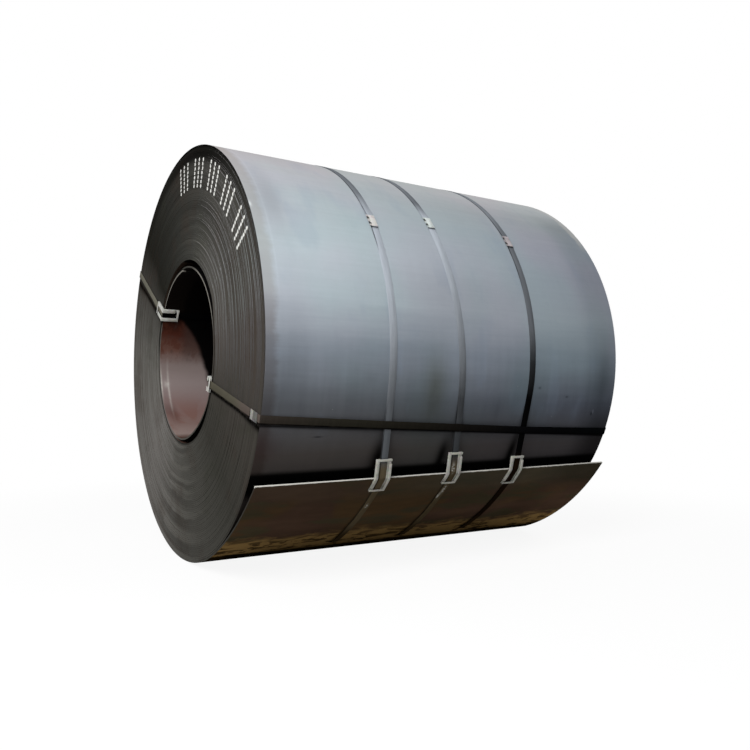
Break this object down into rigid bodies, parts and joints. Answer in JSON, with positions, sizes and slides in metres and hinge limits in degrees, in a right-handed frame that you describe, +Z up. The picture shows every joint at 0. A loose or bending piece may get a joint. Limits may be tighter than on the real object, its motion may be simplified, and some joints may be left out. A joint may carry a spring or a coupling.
{
  "type": "steel coil",
  "caption": "Large strapped coil of hot rolled steel strip lying on its side, with a loose outer tail, belly straps, eye straps through the bore, seals and edge protectors.",
  "frame": {"origin": "centre of the footprint, on the floor that the coil lies on", "axes": "+X along the coil's axis from the seal end to the plain end, +Z up, -Y towards the loose tail"},
  "size_m": [1.822, 1.8368, 1.8369],
  "materials": {
    "coil_steel": "hot rolled mill scale, satin",
    "strap_steel": "blued strapping, satin",
    "galvanised": "zinc coated, dull"
  },
  "bodies": {
    "root": {"coil": "coil_steel", "belly_strap_1": "strap_steel", "belly_strap_2": "strap_steel", "belly_strap_3": "strap_steel", "belly_seal_1": "galvanised", "belly_seal_2": "galvanised", "belly_seal_3": "galvanised", "tail_protector_1": "galvanised", "tail_protector_2": "galvanised", "tail_protector_3": "galvanised", "eye_strap_front": "strap_steel", "eye_strap_back": "strap_steel", "bore_protector_front_near": "galvanised", "bore_protector_front_far": "galvanised", "bore_protector_back_near": "galvanised", "bore_protector_back_far": "galvanised", "eye_seal_front": "galvanised", "eye_seal_back": "galvanised"}
  },
  "joints": []
}
